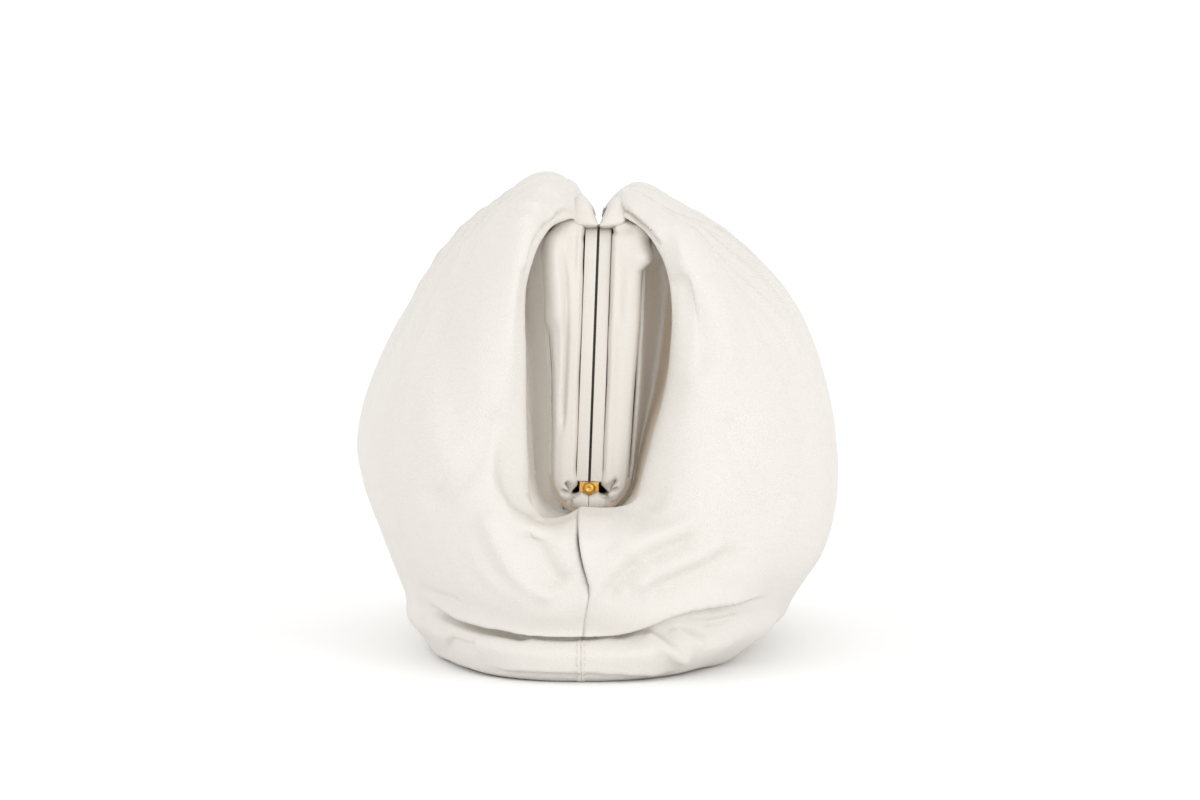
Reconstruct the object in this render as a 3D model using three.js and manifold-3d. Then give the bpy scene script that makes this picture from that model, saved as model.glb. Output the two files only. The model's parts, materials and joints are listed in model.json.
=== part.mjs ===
// A soft leather clutch on a hinged frame, standing on its base. Millimetres, +Z up.
// +Y runs along the frame from the near hinge to the far one, and -X is the front.
// Two gathered leather panels hang from the frame. They roll forward over it, billow out,
// fold once above the floor, and meet in a seam down each end and along the base.
import * as THREE from "three";
import { mergeVertices } from "three/addons/utils/BufferGeometryUtils.js";
import Module from "manifold-3d";

const wasm = await Module();
wasm.setup();

// Driving dimensions of the bag.
const bagLength = 364;
const bagDepth = 229;
const bagHeight = 222;
const leatherWall = 1.8;
const pieceGap = 0.3;

// The closed frame leans a little to the back, about a line along the base.
const leanDegrees = 2.1;
const leanFoot = -6.2;

// The frame's outline, seen from the side, with the leather's crown above it, and its
// leather-covered bars.
const crownRise = 24;
const frameLength = 280;
const frameTop = bagHeight - crownRise;
const frameCorner = 16;
const mouthGap = 1.2;
const barWidth = 5;
const barDepth = 12;
const barFoot = 84.8;
const coverWall = 1.1;

// The metal rail inside each cover, its hinge ears and the rivets.
const railDepth = 8;
const rivetHeight = barFoot - 3.2;
const rivetHeadRadius = 2.6;
const rivetShankRadius = 1.1;
const earRadius = 2.6;
const earThickness = 1.2;
const earRoot = 4.5;
const holeClearance = 0.3;

// The padded roll beside each bar, which bends round under the hinge, and how far the rolls
// and the panels' mouths reach out from the closed bars.
const bendHeight = barFoot + 2.2;
const barEdge = mouthGap / 2 + barWidth;
const mouthReach = 20;

const front = { name: "front", sign: -1 };
const back = { name: "back", sign: 1 };

// Stations along a panel's mouth, as shares of the way from the end seam to mid-length:
// under the hinge, up the arm, round the frame's corner, and along the top.
const stations = { lip: 0, bend: 0.06, armLow: 0.12, armMid: 0.29, armHigh: 0.46, top: 0.56, middle: 1 };

// The roll's section at each station, in shares of the mouth's reach: the space between it
// and the bar, its width on each panel's side, its depth, and how far it stands proud of the
// frame's face.
const rollSections = [
  { station: "lip", inner: 0.19, front: 0.29, back: 0.29, depth: 0.5, proud: 0.05 },
  { station: "bend", inner: 0.13, front: 0.37, back: 0.38, depth: 0.6, proud: 0.075 },
  { station: "armLow", inner: 0.02, front: 0.49, back: 0.52, depth: 0.65, proud: 0.1 },
  { station: "armMid", inner: 0.02, front: 0.59, back: 0.6, depth: 0.7, proud: 0.125 },
  { station: "armHigh", inner: 0.02, front: 0.82, back: 0.69, depth: 0.775, proud: 0.225 },
  { station: "top", inner: 0.02, front: 0.6, back: 0.58, depth: 0.7, proud: 0.25 },
  { station: "middle", inner: 0.02, front: 0.55, back: 0.55, depth: 0.7, proud: 0.225 },
];

// The rings that a panel follows round the mouth. Each station gives how far a ring lies
// beyond the roll's outer edge, and how far in front of (or above) the frame's face, both in
// shares of the mouth's reach.
front.mouthRings = [
  {
    ring: "attach",
    lip: [0.045, -0.225],
    bend: [0.11, -0.225],
    armLow: [0.11, -0.25],
    armMid: [0.11, -0.275],
    armHigh: [0.11, -0.3],
    top: [0.03, -0.275],
    middle: [0.025, -0.275],
  },
  {
    ring: "cleft",
    lip: [0.14, 0.15],
    bend: [0.35, -0.4],
    armLow: [0.4, -0.8],
    armMid: [0.55, -1],
    armHigh: [0.45, -0.8],
    top: [0.12, 0.32],
    middle: [0.12, 0.31],
  },
  {
    ring: "wall",
    lip: [0.13, 0.45],
    bend: [0.55, 0.15],
    armLow: [0.65, -0.05],
    armMid: [0.75, 0],
    armHigh: [0.5, 0.2],
    top: [-0.4, 0.4],
    middle: [-0.4, 0.39],
  },
  {
    ring: "edge",
    lip: [0.14, 0.8],
    bend: [0.58, 0.75],
    armLow: [0.52, 0.8],
    armMid: [0.57, 0.9],
    armHigh: [0.28, 0.85],
    top: [-0.74, 0.33],
    middle: [-0.65, 0.43],
  },
  {
    ring: "crest",
    lip: [0.32, 1.3],
    bend: [0.8, 1.25],
    armLow: [1.1, 1.2],
    armMid: [1, 1.35],
    armHigh: [0.65, 1.3],
    top: [0.35, 1.13],
    middle: [0.05, 1.18],
  },
];
back.mouthRings = [
  {
    ring: "attach",
    lip: [0.045, -0.225],
    bend: [0.11, -0.225],
    armLow: [0.11, -0.25],
    armMid: [0.11, -0.275],
    armHigh: [0.11, -0.3],
    top: [0.03, -0.275],
    middle: [0.025, -0.275],
  },
  {
    ring: "cleft",
    lip: [0.14, 0.15],
    bend: [0.17, -0.15],
    armLow: [0.17, -0.45],
    armMid: [0.45, -1.1],
    armHigh: [0.45, -0.9],
    top: [0.12, 0.32],
    middle: [0.12, 0.31],
  },
  {
    ring: "wall",
    lip: [0.09, 0.4],
    bend: [0.18, 0.35],
    armLow: [0.27, 0.2],
    armMid: [0.75, -0.3],
    armHigh: [0.65, -0.1],
    top: [-0.4, 0.4],
    middle: [-0.4, 0.39],
  },
  {
    ring: "edge",
    lip: [0.09, 0.7],
    bend: [0.25, 0.75],
    armLow: [0.3, 0.85],
    armMid: [0.77, 0.65],
    armHigh: [0.47, 0.6],
    top: [-0.72, 0.33],
    middle: [-0.65, 0.41],
  },
  {
    ring: "crest",
    lip: [0.27, 1.25],
    bend: [0.47, 1.3],
    armLow: [0.85, 1.35],
    armMid: [1.35, 1.2],
    armHigh: [1.05, 0.95],
    top: [0.2, 0.77],
    middle: [0.05, 0.93],
  },
];

// The billowing form below the mouth, level by level: its height as a share of the bag's
// height, half the depth to the front and to the back, and half the length, as shares of
// the bag's half depth and half length.
const levels = [
  { height: 0, front: 0.58, back: 0.52, length: 0.925 },
  { height: 0.036, front: 0.72, back: 0.7, length: 0.975 },
  { height: 0.09, front: 0.775, back: 0.82, length: 0.975 },
  { height: 0.198, front: 0.84, back: 0.94, length: 1 },
  { height: 0.414, front: 1, back: 1, length: 1 },
  { height: 0.586, front: 0.915, back: 0.935, length: 0.98 },
  { height: 0.703, front: 0.8, back: 0.845, length: 0.95 },
  { height: 0.811, front: 0.66, back: 0.64, length: 0.92 },
  { height: 0.901, front: 0.535, back: 0.46, length: 0.88 },
  { height: 1, front: 0.3, back: 0.15, length: 0.82 },
];
const planSquareness = 0.8;

// The rings below the mouth: their heights at the end seam and at mid-length, as shares of
// the bag's height. The fold above the floor lies at the tuck ring. drawnIn is the share of
// the half length by which a ring is drawn in.
const bodyRings = [
  { ring: "shoulder", end: 0.275, side: 0.892, drawnIn: 0.015 },
  { ring: "chest", end: 0.234, side: 0.703, drawnIn: 0 },
  { ring: "belly", end: 0.189, side: 0.441, drawnIn: 0 },
  { ring: "overhang", end: 0.135, side: 0.234, drawnIn: 0 },
  { ring: "tuck", end: 0.099, side: 0.122, drawnIn: 0.03 },
  { ring: "foot", end: 0.054, side: 0.063, drawnIn: 0 },
  { ring: "ground", end: 0, side: 0, drawnIn: 0 },
];
const baseSeamHalfLength = 150;

// Where each station's rib lies round the bag: -90 is the end seam and 0 mid-length.
const ribAngles = [
  { station: "lip", degrees: -90 },
  { station: "bend", degrees: -83 },
  { station: "armLow", degrees: -76 },
  { station: "armMid", degrees: -64 },
  { station: "armHigh", degrees: -50 },
  { station: "top", degrees: -42 },
  { station: "middle", degrees: 0 },
];
const ribRiseEnd = 0.75;

// How finely the panels are divided: along half the mouth by zone, and between rings.
const mouthSteps = { lip: 4, arm: 6, corner: 3, top: 8 };
const ringSteps = [1, 2, 2, 2, 2, 2, 2, 2, 2, 2, 2, 1];

// Gathers that fall from the top of a panel: their place along it (-1 near end, 1 far end),
// half width and height in shares of the mouth's reach, and how far down they come (1 is
// the tuck).
const gathers = [
  { at: -0.86, halfWidth: 0.75, height: 0.22, reach: 0.72 },
  { at: -0.6, halfWidth: 0.95, height: -0.26, reach: 0.74 },
  { at: -0.34, halfWidth: 0.85, height: 0.25, reach: 0.7 },
  { at: -0.1, halfWidth: 0.75, height: -0.19, reach: 0.56 },
  { at: 0.14, halfWidth: 0.9, height: 0.24, reach: 0.64 },
  { at: 0.4, halfWidth: 0.8, height: -0.22, reach: 0.6 },
  { at: 0.64, halfWidth: 0.85, height: 0.25, reach: 0.72 },
  { at: 0.88, halfWidth: 0.7, height: -0.15, reach: 0.54 },
];

const halfFrame = frameLength / 2;
const toRadians = THREE.MathUtils.degToRad;
const smooth = THREE.MathUtils.smoothstep;
const mix = THREE.MathUtils.lerp;

// A smooth curve through rows of a table, read at a place between them.
function readTable(rows, placeOf, valueOf, place) {
  const last = rows.length - 1;
  let i = 0;
  while (i < last - 1 && placeOf(rows[i + 1]) < place) i += 1;
  const x0 = placeOf(rows[i]);
  const x1 = placeOf(rows[i + 1]);
  const slope = (k) => {
    const a = rows[Math.max(k - 1, 0)];
    const b = rows[Math.min(k + 1, last)];
    return (valueOf(b) - valueOf(a)) / (placeOf(b) - placeOf(a));
  };
  const t = THREE.MathUtils.clamp((place - x0) / (x1 - x0), 0, 1);
  const span = x1 - x0;
  const rise = t * t * (3 - 2 * t);
  return (
    valueOf(rows[i]) * (1 - rise) +
    valueOf(rows[i + 1]) * rise +
    slope(i) * span * t * (1 - t) * (1 - t) -
    slope(i + 1) * span * t * t * (1 - t)
  );
}

const stationPlace = (row) => stations[row.station];
const levelPlace = (row) => row.height * bagHeight;
const rollAt = (s, key) => mouthReach * readTable(rollSections, stationPlace, (row) => row[key], s);
const rollInner = (s) => barEdge + rollAt(s, "inner");
const ribAngleAt = (s) => toRadians(readTable(ribAngles, stationPlace, (row) => row.degrees, s));
const levelAt = (z, key) => readTable(levels, levelPlace, (row) => row[key], z);

// How far a mouth ring lies beyond the roll (index 0) or ahead of the frame (index 1).
function ringAt(ring, s, index) {
  const rows = Object.keys(stations).map((station) => ({ station, value: ring[station][index] }));
  return mouthReach * readTable(rows, stationPlace, (row) => row.value, s);
}

// A point beside the frame at share s, out from the mouth and in front of its face, in the
// frame's own upright coordinates. Under the hinge the way out turns down and inward.
function besideFrame(s, out, ahead) {
  if (s < stations.armLow) {
    const turn = (s / stations.armLow) * (Math.PI / 2);
    return new THREE.Vector3(out * Math.sin(turn), -halfFrame - ahead, bendHeight - out * Math.cos(turn));
  }
  const cornerHeight = frameTop - frameCorner;
  if (s < stations.armHigh) {
    const share = (s - stations.armLow) / (stations.armHigh - stations.armLow);
    return new THREE.Vector3(out, -halfFrame - ahead, mix(bendHeight, cornerHeight, share));
  }
  const cornerY = frameCorner - halfFrame;
  if (s < stations.top) {
    const turn = ((s - stations.armHigh) / (stations.top - stations.armHigh)) * (Math.PI / 2);
    const radius = frameCorner + ahead;
    return new THREE.Vector3(out, cornerY - radius * Math.cos(turn), cornerHeight + radius * Math.sin(turn));
  }
  const share = (s - stations.top) / (1 - stations.top);
  return new THREE.Vector3(out, mix(cornerY, 0, share), frameTop + ahead);
}

// Puts a point of the upright frame where the leaning frame holds it.
const leaning = new THREE.Matrix4()
  .makeTranslation(leanFoot, 0, 0)
  .multiply(new THREE.Matrix4().makeRotationY(toRadians(leanDegrees)));
const seamX = (z) => leanFoot + z * Math.tan(toRadians(leanDegrees));

// Keeps a point on its own side of the leaning plane in which the panels' seams lie.
function keptToSide(p, side) {
  const offset = Math.max(side.sign * (p.x - seamX(p.z)), pieceGap / 2);
  p.x = seamX(p.z) + side.sign * offset;
  return p;
}

// Where rib v (0 near seam, 1 far seam) crosses each ring of a panel.
function ribPoints(side, v) {
  const other = side === front ? back : front;
  const nearEnd = v <= 0.5;
  const s = nearEnd ? 2 * v : 2 * (1 - v);
  const farShare = smooth(v, 0.4, 0.6);
  const place = (p) => {
    p.x = side.sign * Math.max(p.x, pieceGap / 2);
    p.y *= nearEnd ? 1 : -1;
    return p;
  };
  const rollEdge = rollInner(s) + mix(rollAt(s, side.name), rollAt(s, other.name), farShare);
  const mouth = side.mouthRings.map((ring, i) => {
    const far = other.mouthRings[i];
    const beyond = mix(ringAt(ring, s, 0), ringAt(far, s, 0), farShare);
    const ahead = mix(ringAt(ring, s, 1), ringAt(far, s, 1), farShare);
    return place(besideFrame(s, rollEdge + beyond, ahead)).applyMatrix4(leaning);
  });
  const theta = ribAngleAt(s);
  const acrossShare = Math.max(Math.cos(theta), 0) ** planSquareness;
  const alongShare = Math.abs(Math.sin(theta)) ** planSquareness;
  const body = bodyRings.map((ring) => {
    const z = bagHeight * mix(ring.end, ring.side, smooth(s, 0, ribRiseEnd));
    const halfDepth = bagDepth / 2 - side.sign * seamX(z);
    const across = levelAt(z, side.name) * halfDepth * acrossShare * (1 - ring.drawnIn);
    const along = (levelAt(z, "length") - ring.drawnIn) * (bagLength / 2) * alongShare;
    const p = place(new THREE.Vector3(across, -along, z));
    p.x += seamX(z);
    return p;
  });
  const baseSeam = place(new THREE.Vector3(0, -baseSeamHalfLength * alongShare, 0));
  baseSeam.x += seamX(0);
  return [...mouth, ...body, baseSeam];
}

// The shares along the mouth at which ribs are placed, from near seam to far seam.
function ribPlaces() {
  const zones = [
    [stations.lip, stations.armLow, mouthSteps.lip],
    [stations.armLow, stations.armHigh, mouthSteps.arm],
    [stations.armHigh, stations.top, mouthSteps.corner],
    [stations.top, stations.middle, mouthSteps.top],
  ];
  const half = [0];
  for (const [from, to, steps] of zones) {
    for (let k = 1; k <= steps; k += 1) half.push(mix(from, to, k / steps) / 2);
  }
  return [...half, ...half.slice(0, -1).reverse().map((v) => 1 - v)];
}

// How far the gathers lift the leather at rib v and at share w of the way down the rib.
function gatherRelief(v, w) {
  const s = v <= 0.5 ? 2 * v : 2 * (1 - v);
  const topShare = (s - stations.top) / (1 - stations.top);
  const along = (v <= 0.5 ? -1 : 1) * (1 - topShare);
  let relief = 0;
  for (const fold of gathers) {
    const offset = ((along - fold.at) * halfFrame) / (fold.halfWidth * mouthReach);
    const fall = 1 - smooth(w, 0.35 * fold.reach, fold.reach);
    relief += fold.height * mouthReach * Math.exp(-offset * offset) * fall;
  }
  return relief * smooth(w, 0.22, 0.4) * smooth(topShare, -0.25, 0.1);
}

// The leather's outer skin as a grid of points: one row for each rib.
function outerSkin(side) {
  const tuckRing = side.mouthRings.length + bodyRings.findIndex((ring) => ring.ring === "tuck");
  return ribPlaces().map((v) => {
    const rings = ribPoints(side, v);
    const curve = new THREE.CatmullRomCurve3(rings, false, "centripetal");
    const row = [rings[0]];
    ringSteps.forEach((steps, i) => {
      for (let k = 1; k <= steps; k += 1) {
        const p = keptToSide(curve.getPoint((i + k / steps) / ringSteps.length), side);
        p.shareDown = (i + k / steps) / tuckRing;
        p.z = Math.max(p.z, 0);
        row.push(p);
      }
    });
    row[0].shareDown = 0;
    row.shareAlong = v;
    return row;
  });
}

// The skin's normals, pointing out of the bag. On the seams they stay in the seam's plane.
function skinNormals(grid, side) {
  const lastRib = grid.length - 1;
  const lastStep = grid[0].length - 1;
  return grid.map((row, i) =>
    row.map((p, j) => {
      const alongMouth = grid[Math.min(i + 1, lastRib)][j].clone().sub(grid[Math.max(i - 1, 0)][j]);
      const downRib = row[Math.min(j + 1, lastStep)].clone().sub(row[Math.max(j - 1, 0)]);
      const normal = downRib.cross(alongMouth).multiplyScalar(side.sign);
      if (p.z < leatherWall / 10) return normal.set(0, 0, -1);
      if (i === 0 || i === lastRib) normal.x = 0;
      return normal.normalize();
    }),
  );
}

// Triangles of a grid of points, whose indices start at a number, facing one way or the other.
function gridTriangles(rows, columns, start, flip) {
  const faces = [];
  for (let i = 0; i < rows - 1; i += 1) {
    for (let j = 0; j < columns - 1; j += 1) {
      const a = start + i * columns + j;
      const b = a + 1;
      const c = a + columns + 1;
      const d = a + columns;
      faces.push(...(flip ? [a, c, b, a, d, c] : [a, b, c, a, c, d]));
    }
  }
  return faces;
}

// A closed wall between an outer and an inner grid of points.
function wallGeometry(outer, inner, flip) {
  const rows = outer.length;
  const columns = outer[0].length;
  const count = rows * columns;
  const indices = [...gridTriangles(rows, columns, 0, flip), ...gridTriangles(rows, columns, count, !flip)];
  const rim = [];
  for (let j = 0; j < columns - 1; j += 1) rim.push(j);
  for (let i = 0; i < rows - 1; i += 1) rim.push(i * columns + columns - 1);
  for (let j = columns - 1; j > 0; j -= 1) rim.push((rows - 1) * columns + j);
  for (let i = rows - 1; i > 0; i -= 1) rim.push(i * columns);
  rim.forEach((a, k) => {
    const b = rim[(k + 1) % rim.length];
    indices.push(...(flip ? [a, b, b + count, a, b + count, a + count] : [b, a, a + count, b, a + count, b + count]));
  });
  const geometry = new THREE.BufferGeometry().setFromPoints([...outer.flat(), ...inner.flat()]);
  geometry.setIndex(indices);
  return geometry;
}

// One gathered panel of the bag, a leather wall round the outside of its half.
function panelGeometry(side) {
  const skin = outerSkin(side);
  const lastRib = skin.length - 1;
  skinNormals(skin, side).forEach((row, i) =>
    row.forEach((normal, j) => {
      if (i === 0 || i === lastRib) return;
      const lifted = skin[i][j].addScaledVector(normal, gatherRelief(skin[i].shareAlong, skin[i][j].shareDown));
      keptToSide(lifted, side);
    }),
  );
  const normals = skinNormals(skin, side);
  const lining = skin.map((row, i) => row.map((p, j) => keptToSide(p.clone().addScaledVector(normals[i][j], -leatherWall), side)));
  return wallGeometry(skin, lining, side.sign < 0);
}

// The padded roll beside one bar: rounded sections that follow the frame from under the
// near hinge, up, along the top and down to under the far hinge.
function rollGeometry(side) {
  const corners = 10;
  const places = ribPlaces().filter((v, i) => i % 2 === 0 || Math.abs(v - 0.5) > 0.3);
  const sections = places.map((v) => {
    const s = v <= 0.5 ? 2 * v : 2 * (1 - v);
    const other = side === front ? back : front;
    const halfWidth = mix(rollAt(s, side.name), rollAt(s, other.name), smooth(v, 0.4, 0.6)) / 2;
    const halfDepth = rollAt(s, "depth") / 2;
    const ring = [];
    for (let k = 0; k < corners; k += 1) {
      const turn = ((k + 0.5) / corners) * 2 * Math.PI;
      const round = (value) => Math.sign(value) * Math.abs(value) ** planSquareness;
      const out = rollInner(s) + halfWidth * (1 + round(Math.cos(turn)));
      const p = besideFrame(s, out, rollAt(s, "proud") - halfDepth * (1 - round(Math.sin(turn))));
      p.x = side.sign * Math.max(p.x, pieceGap / 2);
      p.y *= v <= 0.5 ? 1 : -1;
      ring.push(p);
    }
    return ring;
  });
  return tubeGeometry(sections, side.sign > 0);
}

// A closed tube through rings of points, with flat ends.
function tubeGeometry(sections, flip) {
  const corners = sections[0].length;
  const indices = [];
  const face = (a, b, c) => indices.push(...(flip ? [a, c, b] : [a, b, c]));
  for (let i = 0; i < sections.length - 1; i += 1) {
    for (let k = 0; k < corners; k += 1) {
      const a = i * corners + k;
      const b = i * corners + ((k + 1) % corners);
      face(a, b, b + corners);
      face(a, b + corners, a + corners);
    }
  }
  const end = (sections.length - 1) * corners;
  for (let k = 1; k < corners - 1; k += 1) {
    face(0, k + 1, k);
    face(end, end + k, end + k + 1);
  }
  const geometry = new THREE.BufferGeometry().setFromPoints(sections.flat());
  geometry.setIndex(indices);
  return geometry;
}

// The outline of the frame seen from the side, inset from its face, as a U-shaped strip.
function frameStrip(inset, depth, foot) {
  const outerHalf = halfFrame - inset;
  const innerHalf = outerHalf - depth;
  const outerTop = frameTop - inset;
  const innerTop = outerTop - depth;
  const outerRadius = frameCorner - inset;
  const innerRadius = Math.max(outerRadius - depth, 1);
  const strip = new THREE.Shape();
  strip.moveTo(-outerHalf, foot);
  strip.lineTo(-outerHalf, outerTop - outerRadius);
  strip.absarc(-outerHalf + outerRadius, outerTop - outerRadius, outerRadius, Math.PI, Math.PI / 2, true);
  strip.absarc(outerHalf - outerRadius, outerTop - outerRadius, outerRadius, Math.PI / 2, 0, true);
  strip.lineTo(outerHalf, foot);
  strip.lineTo(innerHalf, foot);
  strip.absarc(innerHalf - innerRadius, innerTop - innerRadius, innerRadius, 0, Math.PI / 2, false);
  strip.absarc(-innerHalf + innerRadius, innerTop - innerRadius, innerRadius, Math.PI / 2, Math.PI, false);
  strip.lineTo(-innerHalf, foot);
  return strip;
}

// A flat shape in the frame's side view, given a thickness along X from one place on.
function sideplate(shape, from, thickness) {
  const geometry = new THREE.ExtrudeGeometry(shape, { depth: thickness, bevelEnabled: false, curveSegments: 5 });
  const toSideView = new THREE.Matrix4().makeBasis(
    new THREE.Vector3(0, 1, 0),
    new THREE.Vector3(0, 0, 1),
    new THREE.Vector3(1, 0, 0),
  );
  return geometry.applyMatrix4(toSideView).translate(from, 0, 0);
}

// A flat shape in the end view (X across, Z up), given a thickness along Y from one place on.
function endplate(shape, from, thickness) {
  const geometry = new THREE.ExtrudeGeometry(shape, { depth: thickness, bevelEnabled: false, curveSegments: 8 });
  const toEndView = new THREE.Matrix4().makeBasis(
    new THREE.Vector3(-1, 0, 0),
    new THREE.Vector3(0, 0, 1),
    new THREE.Vector3(0, 1, 0),
  );
  return geometry.applyMatrix4(toEndView).translate(0, from, 0);
}

// A closed mesh as a solid that can be cut and joined, and back again.
function solidOf(geometry) {
  const bare = geometry.index ? geometry.toNonIndexed() : geometry.clone();
  bare.deleteAttribute("normal");
  bare.deleteAttribute("uv");
  const merged = mergeVertices(bare, 1e-4);
  const mesh = new wasm.Mesh({
    numProp: 3,
    vertProperties: merged.attributes.position.array,
    triVerts: new Uint32Array(merged.index.array),
  });
  return new wasm.Manifold(mesh);
}

function geometryOf(solid) {
  const { vertProperties, triVerts, numProp } = solid.getMesh();
  const geometry = new THREE.BufferGeometry();
  geometry.setAttribute("position", new THREE.BufferAttribute(new Float32Array(vertProperties), numProp));
  geometry.setIndex(new THREE.BufferAttribute(new Uint32Array(triVerts), 1));
  return geometry;
}

// The leather cover of one bar: a channel over the rail, open towards the inside of the bag.
const coverInner = mouthGap / 2 + coverWall;
const coverOuter = mouthGap / 2 + barWidth - coverWall;

function coverGeometry(side) {
  const block = solidOf(sideplate(frameStrip(0, barDepth, barFoot), mouthGap / 2, barWidth));
  const channel = solidOf(
    sideplate(frameStrip(coverWall, barDepth, barFoot - 1), coverInner, coverOuter - coverInner),
  );
  const cover = geometryOf(block.subtract(channel));
  return side.sign > 0 ? cover : mirrored(cover);
}

// The same geometry on the other side of the mouth, with its faces turned to point out.
function mirrored(geometry) {
  const copy = geometry.clone().scale(-1, 1, 1);
  const index = copy.index.array;
  for (let i = 0; i < index.length; i += 3) [index[i + 1], index[i + 2]] = [index[i + 2], index[i + 1]];
  return copy;
}

// One metal rail: a U-shaped strip in its cover, with a pierced ear below each end that
// reaches across to the rivet. The front rail's ears lie outside the back rail's.
function railGeometry(side) {
  const railInner = coverInner + pieceGap;
  const railWidth = coverOuter - coverInner - 2 * pieceGap;
  const inset = coverWall + pieceGap;
  let rail = solidOf(sideplate(frameStrip(inset, railDepth, barFoot - pieceGap), railInner, railWidth));
  const ear = new THREE.Shape();
  const rootTop = rivetHeight + earRoot;
  ear.moveTo(-railInner - railWidth, rootTop);
  ear.lineTo(-railInner - railWidth, rivetHeight - earRadius / 2);
  ear.lineTo(-earRadius, rivetHeight - earRadius);
  ear.lineTo(0, rivetHeight - earRadius);
  ear.absarc(0, rivetHeight, earRadius, -Math.PI / 2, Math.PI / 2, false);
  ear.lineTo(-railInner, rivetHeight + earRadius);
  ear.lineTo(-railInner, rootTop);
  const eye = new THREE.Path().absarc(0, rivetHeight, rivetShankRadius + holeClearance, 0, 2 * Math.PI, true);
  ear.holes.push(eye);
  const layer = side === front ? 0 : earThickness + pieceGap;
  const face = halfFrame - inset - layer;
  for (const end of [-1, 1]) {
    const from = end < 0 ? -face : face - earThickness;
    rail = rail.add(solidOf(endplate(ear, from, earThickness)));
  }
  const geometry = geometryOf(rail);
  return side.sign > 0 ? geometry : mirrored(geometry);
}

// A rivet through both ears of one hinge: a domed head outside, a shank and a small foot.
function rivetGeometry() {
  const footHeight = 0.8;
  const grip = 2 * earThickness + 3 * pieceGap;
  const profile = [new THREE.Vector2(0, -footHeight)];
  profile.push(new THREE.Vector2(rivetHeadRadius * 0.8, -footHeight));
  profile.push(new THREE.Vector2(rivetHeadRadius * 0.8, 0));
  profile.push(new THREE.Vector2(rivetShankRadius, 0));
  profile.push(new THREE.Vector2(rivetShankRadius, grip));
  profile.push(new THREE.Vector2(rivetHeadRadius, grip));
  const domeSteps = 4;
  for (let k = 1; k <= domeSteps; k += 1) {
    const turn = (k / domeSteps) * (Math.PI / 2);
    profile.push(new THREE.Vector2(rivetHeadRadius * Math.cos(turn), grip + 0.6 + rivetHeadRadius * Math.sin(turn)));
  }
  return new THREE.LatheGeometry(profile, 16).rotateX(Math.PI);
}

const leather = new THREE.MeshStandardMaterial({ color: 0xeee9e1, roughness: 0.5, metalness: 0 });
const brass = new THREE.MeshStandardMaterial({ color: 0xb5823a, roughness: 0.3, metalness: 1 });

function mesh(name, geometry, material) {
  const made = new THREE.Mesh(geometry, material);
  made.name = name;
  return made;
}

const bag = new THREE.Group();
for (const side of [front, back]) {
  bag.add(mesh(`${side.name}_panel`, panelGeometry(side), leather));
}

// Everything on the frame leans with it.
const frame = new THREE.Group();
frame.position.x = leanFoot;
frame.rotation.y = toRadians(leanDegrees);
for (const side of [front, back]) {
  frame.add(mesh(`${side.name}_rim_roll`, rollGeometry(side), leather));
  frame.add(mesh(`${side.name}_bar_cover`, coverGeometry(side), leather));
  frame.add(mesh(`${side.name}_frame_rail`, railGeometry(side), brass));
}
for (const [name, end] of [["near", -1], ["far", 1]]) {
  const rivet = mesh(`${name}_hinge_rivet`, rivetGeometry(), brass);
  rivet.rotation.z = end < 0 ? 0 : Math.PI;
  const earBack = halfFrame - coverWall - 2 * pieceGap - 2 * earThickness;
  rivet.position.set(0, end * (earBack - pieceGap), rivetHeight);
  frame.add(rivet);
}
bag.add(frame);

export default bag;
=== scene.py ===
import json
import math
from collections import namedtuple

import bmesh
import bpy
import numpy as np
from mathutils import Matrix, Vector, noise

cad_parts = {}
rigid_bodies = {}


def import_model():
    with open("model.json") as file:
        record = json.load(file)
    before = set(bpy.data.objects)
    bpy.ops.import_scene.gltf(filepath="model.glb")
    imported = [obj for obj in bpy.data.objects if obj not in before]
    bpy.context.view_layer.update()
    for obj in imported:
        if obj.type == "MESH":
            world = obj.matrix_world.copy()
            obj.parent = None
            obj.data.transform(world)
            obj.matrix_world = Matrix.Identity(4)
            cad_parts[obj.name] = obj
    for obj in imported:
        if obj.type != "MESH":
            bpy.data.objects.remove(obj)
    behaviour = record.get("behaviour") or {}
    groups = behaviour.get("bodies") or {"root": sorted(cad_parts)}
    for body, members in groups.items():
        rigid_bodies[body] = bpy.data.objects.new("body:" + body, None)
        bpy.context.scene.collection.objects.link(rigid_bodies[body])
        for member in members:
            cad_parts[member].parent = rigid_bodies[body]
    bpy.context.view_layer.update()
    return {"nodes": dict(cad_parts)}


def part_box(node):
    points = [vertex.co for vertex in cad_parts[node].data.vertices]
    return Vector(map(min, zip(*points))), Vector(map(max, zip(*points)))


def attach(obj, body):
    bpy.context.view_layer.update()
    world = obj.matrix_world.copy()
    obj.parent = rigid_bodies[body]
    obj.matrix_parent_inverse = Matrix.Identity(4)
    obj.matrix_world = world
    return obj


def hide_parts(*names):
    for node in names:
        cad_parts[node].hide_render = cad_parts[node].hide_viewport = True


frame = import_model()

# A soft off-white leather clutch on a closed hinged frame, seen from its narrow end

MM = 0.001
BODY = "root"
FLOOR_SIDE = 14.0

# The camera, at the height of the bag's shoulder and looking a little down at its near end
CAMERA_PLACE = Vector((0.0016, -1.42, 0.168))
CAMERA_TARGET = Vector((0.0016, -0.185, 0.1221))
CAMERA_LENS = 87.5

# The frame leans to the back about a line along the base, and both end seams lie in its plane
LEAN = math.radians(2.1)
LEAN_FOOT = -6.2 * MM


def seam_x(z):
    return LEAN_FOOT + z * math.tan(LEAN)


# Meshes from the frame's nodes

# Vertices closer than this are one
MERGE = 1e-6
# How often a smoothed skin's cage is corrected, and by what share of the error
CAGE_ROUNDS = 3
CAGE_STEP = 0.8


def merged_copy(node):
    """A bmesh copy of a node's mesh with its doubled vertices merged."""
    bm = bmesh.new()
    bm.from_mesh(frame["nodes"][node].data)
    bmesh.ops.remove_doubles(bm, verts=bm.verts, dist=MERGE)
    return bm


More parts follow.
